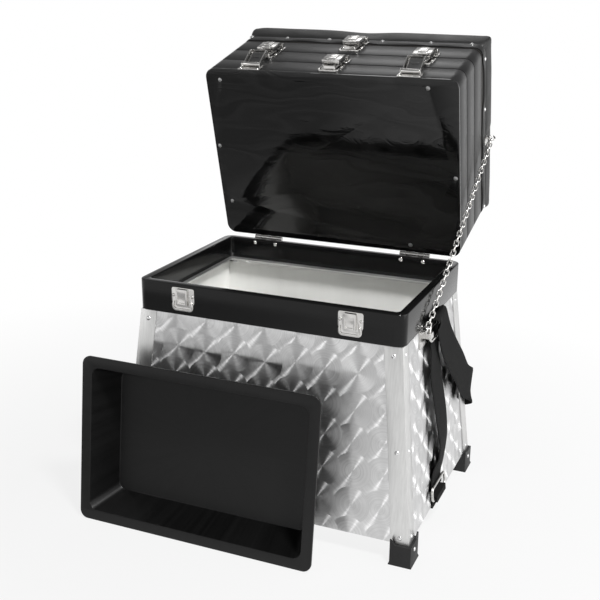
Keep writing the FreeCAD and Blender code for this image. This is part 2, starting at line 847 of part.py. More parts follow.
def wall_ring(size, centre, offset, tilt, wire):
    """A wire ring that lies along the right wall."""
    grow = 2 * (wire - ring_wire)
    ring = bent_ring(size[0] + grow, size[1] + grow, ring_corner, wire)
    lean = math.degrees(math.atan(side_slope))
    ring.rotate(Vector(0, 0, 0), Z, 90)
    ring.rotate(Vector(0, 0, 0), Y, 90 - lean)
    ring.rotate(Vector(0, 0, 0), X, tilt)
    y, z = centre
    ring.translate(Vector(wall_x(z, offset), y, z))
    return ring


def side_bracket():
    """The plate under the collar, with the clip that holds the upper ring."""
    y0, y1 = bracket_front_y, bracket_front_y + bracket_length
    plate = wall_block(bracket_low_z, bracket_high_z, 0, bracket_sheet, y0, y1)
    reach = upper_ring_offset + ring_wire + bracket_sheet
    clip = wall_block(clip_low_z, clip_high_z, 0, reach, clip_front_y, clip_rear_y)
    hole = wall_ring(upper_ring, upper_ring_centre, upper_ring_offset, upper_ring_tilt, ring_wire + ring_play)
    return plate.fuse(clip).removeSplitter().cut(hole)


def band(sections):
    """A flat band through (centre, width vector, thickness vector) sections, in flat facets."""
    points, faces = [], []
    for centre, across, through in sections:
        for a, b in ((-1, -1), (1, -1), (1, 1), (-1, 1)):
            points.append(centre + across * (a / 2) + through * (b / 2))
    for index in range(len(sections) - 1):
        first = 4 * index
        for k in range(4):
            a, b = first + k, first + (k + 1) % 4
            faces.append((a, b, b + 4))
            faces.append((a, b + 4, a + 4))
    last = 4 * (len(sections) - 1)
    faces += [(0, 2, 1), (0, 3, 2), (last, last + 1, last + 2), (last, last + 2, last + 3)]
    return faceted(points, faces)


def side_strap():
    sections = []
    for y, z, clearance, twist in side_strap_route:
        turn = math.radians(twist)
        across = Vector(-math.sin(turn), math.cos(turn), 0) * webbing_width
        through = Vector(math.cos(turn), math.sin(turn), 0) * webbing
        sections.append((Vector(wall_x(z, clearance), y, z), across, through))
    return band(sections)


def shoulder_strap():
    """One long strap: from the right ring, round behind the box, to the left ring."""
    half = []
    for (clearance, y, z), across in shoulder_beside:
        half.append((Vector(wall_x(z, clearance), y, z), Vector(*across).normalize()))
    for (share, clearance, z), across in shoulder_behind:
        x, y = panel_half(z)
        half.append((Vector(share * x, y + clearance, z), Vector(*across).normalize()))
    route = half + [(Vector(-p.x, p.y, p.z), Vector(-w.x, w.y, w.z)) for p, w in reversed(half[:-1])]
    sections = []
    for index, (place, across) in enumerate(route):
        before = route[max(index - 1, 0)][0]
        after = route[min(index + 1, len(route) - 1)][0]
        run = (after - before).normalize()
        through = run.cross(across).normalize()
        sections.append((place, across * webbing_width, through * webbing))
    return band(sections)


def strap_tab():
    """The webbing tab from under the body's edge, sewn in a loop round the lower ring's bar."""
    y = lower_ring_centre[0]
    y0, y1 = y - tab_width / 2, y + tab_width / 2
    bar_z = lower_ring_centre[1] - lower_ring[1] / 2 + ring_wire
    room = ring_wire + 2 * ring_play
    low, loop_low, loop_high = foot_height, bar_z - room - tab_loop_wall, bar_z + room + tab_loop_wall
    far = lower_ring_offset + room
    strip = wall_block(low - webbing, loop_low, 0, webbing, y0, y1)
    loop = wall_block(loop_low, loop_high, 0, far + tab_loop_wall, y0, y1)
    hole = wall_block(bar_z - room, bar_z + room, lower_ring_offset - room, far, y0 - 1, y1 + 1)
    under = block(wall_x(low, 0) - tab_inner, wall_x(low, 0), y0, y1, low - webbing, low)
    return fused([strip, loop.cut(hole), under])


def insert_tray():
    """The loose tray as it would lie in the collar: flange on top, tub below, opening up."""
    half_x, half_y = insert_width / 2, insert_depth / 2
    rim_x, rim_y = half_x - insert_flange, half_y - insert_flange
    wall, corner = insert_wall, insert_corner
    floor_x, floor_y = rim_x - insert_draft, rim_y - insert_draft
    above = insert_draft / insert_height
    outer_wires = [rounded_wire(rim_x + wall, rim_y + wall, corner + wall, 0.0),
                   rounded_wire(floor_x + wall, floor_y + wall, corner + wall, -insert_height)]
    inner_wires = [rounded_wire(rim_x + above, rim_y + above, corner, 1.0),
                   rounded_wire(floor_x, floor_y, corner, -insert_height + wall)]
    outer = Part.makeLoft(outer_wires, True, True)
    inner = Part.makeLoft(inner_wires, True, True)
    flange = rounded_block(half_x, half_y, corner, -wall, 0.0)
    lip = rounded_block(half_x, half_y, corner, -insert_lip, 0.0)
    lip = lip.cut(rounded_block(half_x - wall, half_y - wall, corner - wall, -insert_lip - 1, 1.0))
    return fused([flange, lip, outer]).cut(inner)


def leaning_insert():
    """The tray on its long edge on the ground, its tub's upper edge against a front post."""
    tray = insert_tray()
    tray.rotate(Vector(0, 0, 0), X, 90 - insert_tilt)
    tray.translate(Vector(insert_x, 0, -tray.optimalBoundingBox().ZMin))
    foot_reach = post_half(foot_height)[1] + foot_overhang + foot_flare
    reach = 0
    for vertex in tray.Vertexes:
        front = foot_reach if vertex.Z < foot_height + foot_fin_height else post_half(vertex.Z)[1]
        reach = max(reach, vertex.Y + front)
    tray.translate(Vector(0, -reach - lean_gap, 0))
    return tray


os.makedirs("parts", exist_ok=True)

# Body, collar, feet
export("front_panel", front_or_rear_panel(-1))
export("rear_panel", front_or_rear_panel(1))
export("left_panel", side_panel(-1))
export("right_panel", side_panel(1))
for name_x, side_x in (("left", -1), ("right", 1)):
    for name_y, side_y in (("front", -1), ("rear", 1)):
        export("corner_post_%s_%s" % (name_y, name_x), corner_post(side_x, side_y))
        export("foot_%s_%s" % (name_y, name_x), foot(side_x, side_y))
export("post_rivets", post_rivets())
export("foot_screws", foot_screws())
export("floor_pan", floor_pan())
export("tray_ledge", tray_ledge())
export("collar", collar())
export("collar_screws", collar_screws())
collar_catches = []
for x in (-latch_x, latch_x):
    collar_catches += placed(catch(), x, -half_depth, collar_top_z)
export("collar_catches", group(collar_catches))

# Main hinge
export("main_hinge_lower_leaves",
       group(hinge_leaves(half_depth, hinge_y, hinge_z, False) + collar_rivet_ends()))
export("main_hinge_pins", group(hinge_pins(hinge_y, hinge_z)))
export("main_hinge_upper_leaves", opened(group(hinge_leaves(level_half_depth, hinge_y, hinge_z, True))))

# The three levels, lowest first, and the seat: each carries hasps for the seam below it and, but for
# the seat, catches and hinge leaves for the seam above it
pair = (-latch_x, latch_x)
levels = (("a", 0, pair, (0,)), ("b", 1, (0,), pair), ("c", 2, pair, (0,)), ("seat", 3, (0,), ()))
front = -level_half_depth
for name, order, hasp_xs, catch_xs in levels:
    seam = order * level_height
    seam_z = collar_top_z + seam
    if name == "a":
        export("base_board", opened(raised(base_board(), 0)))
        export("base_board_screws", opened(raised(base_board_screws(), 0)))
    if name != "seat":
        low = board_thickness + seam_gap if name == "a" else seam_gap
        export("level_" + name, opened(raised(level(low, level_height), seam)))
    mounts = []
    for x in hasp_xs:
        mounts += placed(hasp_mount(), x, front - pivot_offset, seam_z + pivot_rise)
        cap = hasp()
        if name == "a":
            cap.rotate(Vector(0, 0, 0), X, -hasp_open_angle)
        cap = opened(placed([cap], x, front - pivot_offset, seam_z + pivot_rise)[0])
        side = "" if len(hasp_xs) == 1 else "_left" if x < 0 else "_right"
        export("hasp_" + name + side, cap)
    export("hasp_mounts_" + name, opened(group(mounts)))
    catches = []
    for x in catch_xs:
        catches += placed(catch(), x, front, seam_z + level_height)
    if catches:
        export("catches_" + name, opened(group(catches)))
        axis_z = seam_z + level_height + hinge_axis_rise
        leaves = hinge_leaves(level_half_depth, level_hinge_y, axis_z, False)
        export("hinge_lower_leaves_" + name, opened(group(leaves + hinge_pins(level_hinge_y, axis_z))))
    if order:
        axis_z = seam_z + hinge_axis_rise
        export("hinge_upper_leaves_" + name,
               opened(group(hinge_leaves(level_half_depth, level_hinge_y, axis_z, True))))

# Seat
for name, make in (("seat_riser", seat_riser), ("seat_board", seat_board), ("seat_cover", seat_cover),
                   ("seat_cushion", seat_cushion), ("seat_nails", seat_nails)):
    export(name, opened(raised(make(), 0)))

# Chain and its eyes
low_end, high_end = chain_ends()
chain_start, chain_along, link_count, link_pitch, link_length = chain_plan()
export("safety_chain", safety_chain())
root_z = bracket_high_z - 2 * eye_stem
root = Vector(wall_x(root_z, bracket_sheet - eye_root_sink), low_end.y, root_z)
low_eye = eye(low_end, chain_along, -chain_turn, root)
last_turn = chain_turn if link_count % 2 else -chain_turn
plate = block(level_half_width, level_half_width + eye_plate_sheet, chain_high_y - eye_plate_width / 2,
              chain_high_y + eye_plate_width / 2, eye_plate_low, eye_plate_high)
shut_end = Vector(half_width + chain_offset, chain_high_y, collar_top_z + chain_high_rise)
root = opened(Part.Vertex(level_half_width, chain_high_y, shut_end.z)).Vertexes[0].Point
high_eye = eye(high_end, chain_along, -last_turn, root)
eye_screw = button(latch_screw_radius, latch_screw_head,
                   Vector(level_half_width + eye_plate_sheet, chain_high_y, eye_screw_rise), X)
export("seat_chain_eye", group([fused([opened(raised(plate, 0)), high_eye]), opened(raised(eye_screw, 0))]))

# Straps, rings and brackets on both sides
right_bracket = fused([side_bracket(), low_eye])
export("strap_brackets", group([right_bracket, mirrored(side_bracket())]))
upper = wall_ring(upper_ring, upper_ring_centre, upper_ring_offset, upper_ring_tilt, ring_wire)
lower = wall_ring(lower_ring, lower_ring_centre, lower_ring_offset, 0, ring_wire)
export("strap_rings", group([upper, lower, mirrored(upper), mirrored(lower)]))
export("side_strap_right", side_strap())
export("side_strap_left", mirrored(side_strap()))
export("shoulder_strap", shoulder_strap())
export("strap_tabs", group([strap_tab(), mirrored(strap_tab())]))

# Loose insert tray
export("insert_tray", leaning_insert())
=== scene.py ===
import json
import math

import bmesh
import bpy
import numpy as np
from mathutils import Matrix, Vector

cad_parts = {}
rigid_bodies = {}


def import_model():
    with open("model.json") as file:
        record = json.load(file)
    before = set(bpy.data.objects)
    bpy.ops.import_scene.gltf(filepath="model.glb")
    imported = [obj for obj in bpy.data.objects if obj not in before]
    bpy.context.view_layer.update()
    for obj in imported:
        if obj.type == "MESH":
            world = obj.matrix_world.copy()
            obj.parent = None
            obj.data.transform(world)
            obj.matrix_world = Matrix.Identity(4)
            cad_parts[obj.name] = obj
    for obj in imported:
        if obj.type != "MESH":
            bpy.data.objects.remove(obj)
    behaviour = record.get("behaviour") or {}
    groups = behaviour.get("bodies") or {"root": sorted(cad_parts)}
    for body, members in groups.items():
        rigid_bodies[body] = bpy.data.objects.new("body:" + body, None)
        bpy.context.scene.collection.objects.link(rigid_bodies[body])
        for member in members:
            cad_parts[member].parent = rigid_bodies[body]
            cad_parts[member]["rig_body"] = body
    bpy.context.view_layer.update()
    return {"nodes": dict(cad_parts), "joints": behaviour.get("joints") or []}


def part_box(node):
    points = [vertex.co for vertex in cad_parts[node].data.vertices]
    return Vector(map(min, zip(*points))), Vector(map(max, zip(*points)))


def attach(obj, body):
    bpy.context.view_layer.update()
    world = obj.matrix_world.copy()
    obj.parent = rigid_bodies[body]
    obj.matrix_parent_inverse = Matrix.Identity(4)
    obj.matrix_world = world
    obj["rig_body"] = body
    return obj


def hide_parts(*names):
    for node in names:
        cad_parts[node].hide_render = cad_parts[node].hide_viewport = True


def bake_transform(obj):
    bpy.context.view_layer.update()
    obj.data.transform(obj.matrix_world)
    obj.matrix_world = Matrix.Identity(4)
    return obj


# Fishing seat box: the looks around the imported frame. Metres, Z up, front at -Y.

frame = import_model()
nodes = frame["nodes"]
joints = {joint["name"]: joint for joint in frame["joints"]}
scene = bpy.context.scene
mm = 0.001
tiny = 1e-9

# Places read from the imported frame
hinge_place = Vector(joints["stack_hinge"]["pos_m"])
collar_low, collar_top = (corner.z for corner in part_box("collar"))
wall_low, wall_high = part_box("right_panel")
rear_wall_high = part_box("rear_panel")[1]

corners = ("front_left", "front_right", "rear_left", "rear_right")
hasps = ("hasp_a_left", "hasp_a_right", "hasp_b", "hasp_c_left", "hasp_c_right", "hasp_seat")

# Camera: a real lens and place, and the turn that the photograph was taken with
camera_place = (0.5140, -1.2355, 0.7256)
camera_yaw = -0.3990
camera_pitch = -0.3152
camera_roll = 0.0087
camera_lens = 59.0
camera_sensor = 36.0

# Lamps: name, place, aim, diameter, watts
lamps = (
    ("key", (0.95, -0.85, 1.95), (0.0, -0.1, 0.3), 0.38, 58.0),
    ("left_fill", (-1.7, -1.6, 1.1), (0.0, 0.0, 0.3), 1.0, 5.0),
    ("right_fill", (2.2, 0.2, 1.0), (0.1, 0.0, 0.25), 2.4, 31.0),
    ("back_top", (-0.4, 1.5, 1.9), (0.0, 0.1, 0.4), 0.8, 3.5),
)
room_light = 0.28
# Rise of a mirrored ray up to which it sees white, and from which it sees the room's grey
low_sky = (0.08, 0.4)

# Floor, and its white: centre, the radius where it starts, where it is full, and its share at the centre
floor_radius = 14.0
floor_sides = 64
floor_seen = ((-0.1, -0.1, 0), 0.3, 1.0, 0.84)
floor_mirrored = ((-0.72, -0.6, 0), 0.4, 0.85, 0.0)

# Materials: a noise's usual range, tints of metal, and tones and roughness at the two ends of a material's pattern
noise_range = (0.3, 0.7)
neutral = (1.0, 1.0, 1.0)
warm = (1.0, 0.985, 0.96)
metal_clouds = (-0.03, 0.03)
board_tones, board_rough = (0.002, 0.008), (0.075, 0.045)
vinyl_tones, vinyl_rough = (0.006, 0.011), (0.40, 0.52)
web_tones, web_fuzz = (0.0025, 0.008), (-0.001, 0.002)
tray_tones, tray_rough = (0.0012, 0.0030), (0.30, 0.40)
# The seat board's tones are very dark as painted shade, so that the board reads as the dark recess under the
# vinyl's hem
wood_dark, wood_light, wood_ply = (0.009, 0.008, 0.007), (0.016, 0.014, 0.012), (0.006, 0.005, 0.005)
floor_dark, floor_light = (0.36, 0.36, 0.36), (0.38, 0.38, 0.38)

# Pitch of ribs and warp threads in the webbing, and of the plies in the wood
rib_pitch = 1.5 * mm
warp_pitch = 2.4 * mm
ply_pitch = 3 * mm

# Swirl-finished sheets: marks in rows from below the collar, which wander by a share of their pitch
swirl_pitch = 44 * mm
swirl_radius = 25.5 * mm
swirl_first_drop = 45 * mm
swirl_wander = 0.09
swirl_lines = 26.0
swirl_spread = (3.7, 9.1, 0)
swirl_rough = (0.27, 0.37)
swirl_anisotropy = 0.96
front_tones = (0.54, 0.74)
# The side sheets' lighter copy of the front's tones is painted light
side_lit_tones = (0.58, 0.76)
# Their plain inside
inside_tones = (0.84, 0.92)
inside_blue = 0.975
inside_metallic = 0.2
inside_rough = 0.6

# Meshes: distances in metres, angles in degrees
merge_distance = 2e-6
level_distance = 1e-5
flat_angle = 0.8
plate_angle = 30.0
finish_angle = 34.0
strap_angle = 50.0
soft_angle = 60.0
pad_angle = 80.0
# Points on an arc, against those on a straight run
arc_density = 1.5

# Padded seat, heights above the stack's lowest face
seat_open_angle = math.radians(75)
seat_half_x = 190 * mm
seat_half_y = 135 * mm
seat_corner = 14 * mm
board_low = 132.9 * mm
nail_line = 146.9 * mm
pad_edge = 184.6 * mm
# Nails, millimetres along each side
nail_front = (-181, -120, -50, 35, 110, 171)
nail_side = (-114, -37, 41, 124)
nail_rear = (-171, -60, 60, 171)
nail_reach = 16 * mm
nail_dent = 2.4 * mm

# The pad's vinyl: its mesh, and its cloth step
pad_voxel = 5 * mm
pad_lift = 0.4 * mm
pad_pressure = 4.0
pad_frames = 20
pad_quality = 6
# The most that its crown rises, and that its left side rises above its right
pad_cap = 5 * mm
pad_lean = 3 * mm
# The sides' bulge, the share of the height at which it is full, its share at the rear, and its gain to the left
pad_bulge = 4.5 * mm
bulge_full = 0.5
bulge_rear = 0.5
bulge_to_left = 0.25
# The share of the bulge that the seat's latch takes, how far to each side, and from which Y to the front
latch_hold = 0.6
latch_hold_half = 34 * mm
latch_hold_from = -60 * mm
# The solid's shoulder, and the power of the tighter curve that replaces its circle
pad_shoulder = 11 * mm
shoulder_power = 3.4
shoulder_end = 0.97
# From each side inward: where the bulge starts, and where the corners, which bulge less, start
side_start, side_run = -26 * mm, 18 * mm
corner_start, corner_run = -48 * mm, 40 * mm
corner_calm_left, corner_calm_right = 0.9, 0.2
corner_power = 8

# The vinyl's folded edge: its mesh
band_rows = 9
band_step = 3 * mm
band_inset = 1.4 * mm
band_tuck = 3 * mm
# How far its inner and outer faces stand out, what a nail takes of the outer one's puff, and how far it reaches
band_inner = 0.2 * mm
band_stand = 1.3 * mm
band_puff = 1.5 * mm
puff_power = 0.8
band_flare = 0.7 * mm
band_pinch = 0.7
pinch_reach = 14 * mm
# The hem's height over the board's lower edge, its wave with its radians per metre, and the gape on the right side
hem_least = 0.6 * mm
hem_wave = 2.6 * mm
wave_rates = (61, 83)
gape_height = 9 * mm
gape_from = 120 * mm
gape_length = 84 * mm
gape_side = 0.98

# Webbing
webbing_width = 50 * mm
webbing_thickness = 2 * mm
webbing_step = 3 * mm
webbing_across = 14
route_steps = 12
# Where the selvedge starts on the half width, how round it is, and where it thickens and how much
selvedge = 0.86
selvedge_round = 0.85
bead_from = 0.8
bead = 0.12
# Inward run of the walls per height
side_slope = 0.101908
rear_slope = 0.091221
# (y, z, clearance from the wall, twist in degrees), millimetres
side_strap_route = (
    (2, 292.2, 5.2, 0), (1, 278, 3.3, 0), (-2, 266, 3.5, 2), (-8, 245, 5, 5), (-12, 215, 6, 0), (-9, 175, 8, 0),
    (-2, 140, 8.5, 1), (2, 112, 8, 4), (-3, 86, 5, 5), (-15, 70, 2.6, 2), (-24, 58, 2.2, 0), (-25, 49, 2.2, 0),
)
# Beside the body: (clearance from the wall, y, z), and the direction of the strap's width
shoulder_beside = (
    ((5.3, 2, 293.4), (0, 1, 0)),
    ((12.4, 4, 292.6), (0, 1, 0)),
    ((13.2, 12, 274), (0, 0.95, 0.3)),
    ((13.2, 24, 252), (0, 0.88, 0.48)),
    ((13.0, 50, 223), (0, 0.78, 0.62)),
    ((12.6, 86, 189), (0, 0.68, 0.73)),
    ((11.4, 118, 157), (0, 0.55, 0.84)),
)
# Behind it: (share of the half width, clearance from the rear sheet, z), and the same direction
shoulder_behind = (
    ((1.05, 10, 135), (0.0, 0.25, 0.97)),
    ((0.98, 21, 121), (0.1, 0.1, 1)),
    ((0.78, 27, 110), (0.1, 0.0, 1)),
    ((0.513, 30, 101), (0.08, 0.0, 1)),
    ((0.243, 31, 96), (0.04, 0.0, 1)),
    ((0.0, 31, 95), (0.0, 0.0, 1)),
)

# Clamps
hasp_flip = math.radians(157)
ridge_half = 7.2 * mm
# Forms on a cap: suffix, half width, run down from the pivot, run out from it, taper, bevel, and if it is dark,
# whose dark steel is painted shade in the cap's hollow
hasp_forms = (
    ("_ridge", ridge_half, (11.5 * mm, 31 * mm), (7.7 * mm, 9.4 * mm), 0.9 * mm, 0.45 * mm, False),
    ("_step", ridge_half - 2.4 * mm, (13.5 * mm, 26 * mm), (9.2 * mm, 10.1 * mm), 0.3 * mm, 0.25 * mm, False),
    ("_lip", ridge_half + 1.5 * mm, (33 * mm, 35.6 * mm), (5.8 * mm, 7.9 * mm), 0.2 * mm, 0.6 * mm, False),
    ("_spring", ridge_half + 3 * mm, (7.5 * mm, 31 * mm), (6.7 * mm, 4.9 * mm), 0.4 * mm, 0.3 * mm, True),
    ("_catch_bar", ridge_half - 1 * mm, (19 * mm, 23 * mm), (5.4 * mm, 3.6 * mm), 0.5 * mm, 0.4 * mm, True),
)


def opened():
    """Turns what is placed on the shut stack to the open rest pose."""
    turn = Matrix.Rotation(-seat_open_angle, 4, "X")
    return Matrix.Translation(hinge_place) @ turn @ Matrix.Translation(-hinge_place)


class Nodes:
    """Short calls for building one node tree."""

    def __init__(self, tree, output):
        self.tree = tree
        self.tree.nodes.clear()
        self.surface = self.tree.nodes.new(output).inputs["Surface"]

    def link(self, source, target):
        self.tree.links.new(source, target)

    def put(self, socket, value):
        """A link where the value is a socket, and a constant otherwise."""
        if isinstance(value, bpy.types.NodeSocket):
            self.link(value, socket)
        else:
            socket.default_value = value

    def math(self, operation, first, second=0.0, third=0.0):
        node = self.tree.nodes.new("ShaderNodeMath")
        node.operation = operation
        for socket, value in zip(node.inputs, (first, second, third)):
            self.put(socket, value)
        return node.outputs[0]

    def vector(self, operation, first, second=(0, 0, 0), scale=1.0):
        node = self.tree.nodes.new("ShaderNodeVectorMath")
        node.operation = operation
        self.put(node.inputs[0], first)
        self.put(node.inputs[1], second)
        if operation == "SCALE":
            self.put(node.inputs[3], scale)
        return node.outputs["Value" if operation in ("LENGTH", "DOT_PRODUCT", "DISTANCE") else "Vector"]

    def place(self, output="Object"):
        return self.tree.nodes.new("ShaderNodeTexCoord").outputs[output]

    def geometry(self, output):
        return self.tree.nodes.new("ShaderNodeNewGeometry").outputs[output]

    def split(self, vector):
        node = self.tree.nodes.new("ShaderNodeSeparateXYZ")
        self.put(node.inputs[0], vector)
        return node.outputs

    def join(self, x, y, z=0.0):
        node = self.tree.nodes.new("ShaderNodeCombineXYZ")
        for socket, value in zip(node.inputs, (x, y, z)):
            self.put(socket, value)
        return node.outputs[0]

    def scaled(self, factors):
        return self.vector("MULTIPLY", self.place(), factors)

    def noise(self, vector, scale, detail=2.0, roughness=0.5):
        node = self.tree.nodes.new("ShaderNodeTexNoise")
        for name, value in (("Vector", vector), ("Scale", scale), ("Detail", detail), ("Roughness", roughness)):
            self.put(node.inputs[name], value)
        return node.outputs[0]

    def white(self, vector):
        node = self.tree.nodes.new("ShaderNodeTexWhiteNoise")
        self.put(node.inputs["Vector"], vector)
        return node.outputs["Color"]

    def cells(self, vector, scale):
        node = self.tree.nodes.new("ShaderNodeTexVoronoi")
        self.put(node.inputs["Vector"], vector)
        self.put(node.inputs["Scale"], scale)
        return node.outputs["Distance"]

    def span(self, value, low, high, to_low=0.0, to_high=1.0):
        node = self.tree.nodes.new("ShaderNodeMapRange")
        for socket, item in zip(node.inputs, (value, low, high, to_low, to_high)):
            self.put(socket, item)
        return node.outputs[0]

    def shades(self, noise, low=0.0, high=1.0):
        """A noise's usual range, spread over two values."""
        return self.span(noise, *noise_range, low, high)

    def grey(self, tone, blue=1.0):
        return self.join(tone, tone, tone if blue == 1.0 else self.math("MULTIPLY", tone, blue))

    def mix(self, share, first, second):
        node = self.tree.nodes.new("ShaderNodeMix")
        node.data_type = "RGBA"
        self.put(node.inputs[0], share)
        for socket, value in ((node.inputs[6], first), (node.inputs[7], second)):
            if isinstance(value, tuple):
                value = value + (1.0,)
            self.put(socket, value)
        return node.outputs[2]

    def mix_vector(self, share, first, second):
        node = self.tree.nodes.new("ShaderNodeMix")
        node.data_type = "VECTOR"
        self.put(node.inputs[0], share)
        self.put(node.inputs[4], first)
        self.put(node.inputs[5], second)
        return node.outputs[1]

    def bump(self, height, distance, under=None):
        node = self.tree.nodes.new("ShaderNodeBump")
        self.put(node.inputs["Height"], height)
        self.put(node.inputs["Distance"], distance)
        if under is not None:
            self.link(under, node.inputs["Normal"])
        return node.outputs[0]

    def rays(self):
        return self.tree.nodes.new("ShaderNodeLightPath").outputs

    def glow(self, kind, strength):
        """White light of a world's background or a material's emission."""
        node = self.tree.nodes.new(kind)
        self.put(node.inputs["Color"], (1.0, 1.0, 1.0, 1.0))
        self.put(node.inputs["Strength"], strength)
        return node.outputs[0]

    def mix_surface(self, share, first, second):
        """Makes the tree's surface a mix of two shaders."""
        blend = self.tree.nodes.new("ShaderNodeMixShader")
        for socket, value in zip(blend.inputs, (share, first, second)):
            self.put(socket, value)
        self.link(blend.outputs[0], self.surface)


class Surface(Nodes):
    """The same for a material with one Principled shader."""

    def __init__(self, name):
        self.material = bpy.data.materials.new(name)
        self.material.use_nodes = True
        super().__init__(self.material.node_tree, "ShaderNodeOutputMaterial")
        self.shader = self.tree.nodes.new("ShaderNodeBsdfPrincipled")
        self.link(self.shader.outputs["BSDF"], self.surface)

    def set(self, **values):
        for name, value in values.items():
            self.put(self.shader.inputs[name.replace("_", " ")], value)


def swirl_material(name, across, outward, tones):
    """Overlapping round brush marks in rows; inside, the same sheet is plain and dull."""
    n = Surface(name)
    x, y, z = n.split(n.place())
    u = n.math("DIVIDE", x if across == "x" else y, swirl_pitch)
    v = n.math("DIVIDE", n.math("SUBTRACT", z, collar_low - swirl_first_drop), swirl_pitch)
    here = n.join(u, v)
    cell = n.vector("FLOOR", here)
    reach = swirl_radius / swirl_pitch
    arm = spot = None
    # From the lowest mark to the one on top: rows downward, and leftward within a row
    for corner in ((1, 1, 0), (0, 1, 0), (1, 0, 0), (0, 0, 0)):
        index = n.vector("ADD", cell, corner)
        shift = n.vector("SCALE", n.vector("SUBTRACT", n.white(index), (0.5, 0.5, 0.5)), scale=2 * swirl_wander)
        centre = n.vector("ADD", index, shift)
        ray = n.vector("MULTIPLY", n.vector("SUBTRACT", here, centre), (1, 1, 0))
        if arm is None:
            arm, spot = ray, index
            continue
        covered = n.math("LESS_THAN", n.vector("LENGTH", ray), reach)
        arm = n.mix_vector(covered, arm, ray)
        spot = n.mix_vector(covered, spot, index)
    distance = n.vector("LENGTH", arm)
    ray_u, ray_v, _ = n.split(arm)
    radial = n.join(ray_u, 0.0, ray_v) if across == "x" else n.join(0.0, ray_u, ray_v)
    # Each mark's lines come from its own part of the noise
    own = n.vector("DOT_PRODUCT", spot, swirl_spread)
    rings = n.noise(n.join(n.math("MULTIPLY", distance, swirl_lines), own), 1.0, 4.0, 0.7)
    patches = n.noise(n.place(), 9.0, 3.0)
    outside = n.math("GREATER_THAN", n.vector("DOT_PRODUCT", n.geometry("True Normal"), outward), 0.0)
    inside_tone = n.shades(n.noise(n.scaled((9, 9, 1.2)), 3.0, 3.0), *inside_tones)
    tone = n.math("ADD", n.shades(rings, *tones), n.shades(patches, *metal_clouds))
    rough = n.span(rings, 0.25, 0.75, *swirl_rough)
    polish = n.math("MULTIPLY", outside, n.math("SUBTRACT", rough, inside_rough))
    n.set(Base_Color=n.mix(outside, n.grey(inside_tone, inside_blue), n.grey(tone)),
          Metallic=n.span(outside, 0.0, 1.0, inside_metallic, 1.0),
          Roughness=n.math("ADD", polish, inside_rough), Anisotropic=swirl_anisotropy,
          Tangent=n.mix_vector(outside, (0, 0, 1), n.vector("NORMALIZE", radial)),
          Normal=n.bump(n.math("MULTIPLY", rings, outside), 0.12 * mm))
    return n.material


def rolled_metal(name, tone, rough, stretch):
    """Plain sheet or extrusion, with faint lines along one direction."""
    n = Surface(name)
    lines = n.noise(n.scaled(stretch), 1.0, 3.0, 0.6)
    clouds = n.noise(n.place(), 14.0, 3.0)
    shade = n.math("ADD", n.shades(lines, tone - 0.05, tone + 0.05), n.shades(clouds, *metal_clouds))
    n.set(Base_Color=n.grey(shade, 0.99), Metallic=1.0,
          Roughness=n.span(lines, 0.2, 0.8, rough - 0.05, rough + 0.08), Normal=n.bump(lines, 0.04 * mm))
    return n.material


def plated(name, tone, rough, tint=warm):
    """Bright plating over pressed steel, uneven enough to break up what it mirrors."""
    n = Surface(name)
    waves = n.noise(n.place(), 160.0, 2.0)
    grime = n.noise(n.place(), 60.0, 4.0, 0.65)
    shade = n.span(grime, 0.35, 0.7, tone, tone * 0.86)
    colour = n.join(*[n.math("MULTIPLY", shade, part) for part in tint])
    n.set(Base_Color=colour, Metallic=1.0, Roughness=n.shades(grime, rough, rough + 0.1),
          Normal=n.bump(waves, 0.25 * mm))
    return n.material


def black_plastic(name, tone, rough, stretch, streaks, gloss=0.34):
    """Black moulding with faint drawn streaks and a slightly uneven gloss."""
    n = Surface(name)
    lines = n.noise(n.scaled(stretch), 1.0, 3.0, 0.55)
    clouds = n.noise(n.place(), 22.0, 3.0)
    shade = n.math("MULTIPLY", n.shades(lines, 0.8, 1.25), tone)
    n.set(Base_Color=n.grey(shade, 1.02),
          Roughness=n.math("ADD", n.shades(lines, rough, rough + 0.06), n.shades(clouds, -0.02, 0.03)),
          Normal=n.bump(lines, streaks), Specular_IOR_Level=gloss)
    return n.material


def grained_board(name):
    """Mirror-gloss black with a printed wood grain that shows as slightly darker, duller lines."""
    n = Surface(name)
    warp = n.noise(n.scaled((5, 16, 16)), 1.0, 2.0)
    x, _, z = n.split(n.place())
    line = n.math("ADD", n.math("MULTIPLY", z, 34.0), n.math("MULTIPLY", warp, 7.0))
    rings = n.noise(n.join(n.math("MULTIPLY", x, 1.5), line), 2.2, 4.0, 0.6)
    fibres = n.noise(n.scaled((40, 900, 900)), 1.0, 2.0)
    grain = n.math("ADD", n.span(rings, 0.4, 0.62), n.math("MULTIPLY", fibres, 0.25))
    n.set(Base_Color=n.grey(n.span(grain, 0.2, 1.1, *board_tones)), Roughness=n.span(grain, 0.2, 1.0, *board_rough),
          Specular_IOR_Level=0.36, Normal=n.bump(grain, 0.1 * mm))
    return n.material


def vinyl(name):
    """Black upholstery vinyl with a fine leather grain and soft pull marks."""
    n = Surface(name)
    pebbles = n.cells(n.place(), 620.0)
    creases = n.noise(n.scaled((18, 30, 30)), 1.0, 3.0)
    n.set(Base_Color=n.grey(n.span(pebbles, 0.0, 0.6, *vinyl_tones)), Roughness=n.shades(creases, *vinyl_rough),
          Specular_IOR_Level=0.3, Normal=n.bump(creases, 0.8 * mm, under=n.bump(pebbles, 0.12 * mm)),
          Sheen_Weight=0.03, Sheen_Roughness=0.4)
    return n.material


